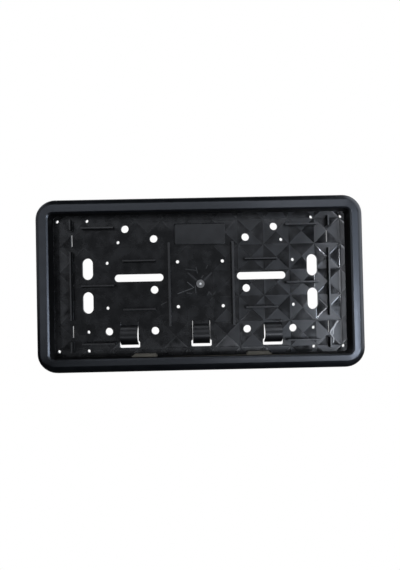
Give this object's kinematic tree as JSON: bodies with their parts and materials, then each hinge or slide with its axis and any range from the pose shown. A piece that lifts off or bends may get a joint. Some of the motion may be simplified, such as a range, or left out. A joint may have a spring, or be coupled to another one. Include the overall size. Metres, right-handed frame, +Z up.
{
  "type": "number plate holder",
  "caption": "Black plastic number plate holder for a square-format car plate: a hollow-backed rim round a faceted floor with bolt holes, slots, screw holes, ribs and spring tongues.",
  "frame": {"origin": "centre of the back plane, where the holder lies on the car", "axes": "+X to the right seen from the front, +Z up, the front faces -Y, +Y points into the car"},
  "size_m": [0.315, 0.018, 0.167],
  "materials": {
    "black_plastic": "satin"
  },
  "bodies": {
    "root": {"plate_holder": "black_plastic"}
  },
  "joints": []
}
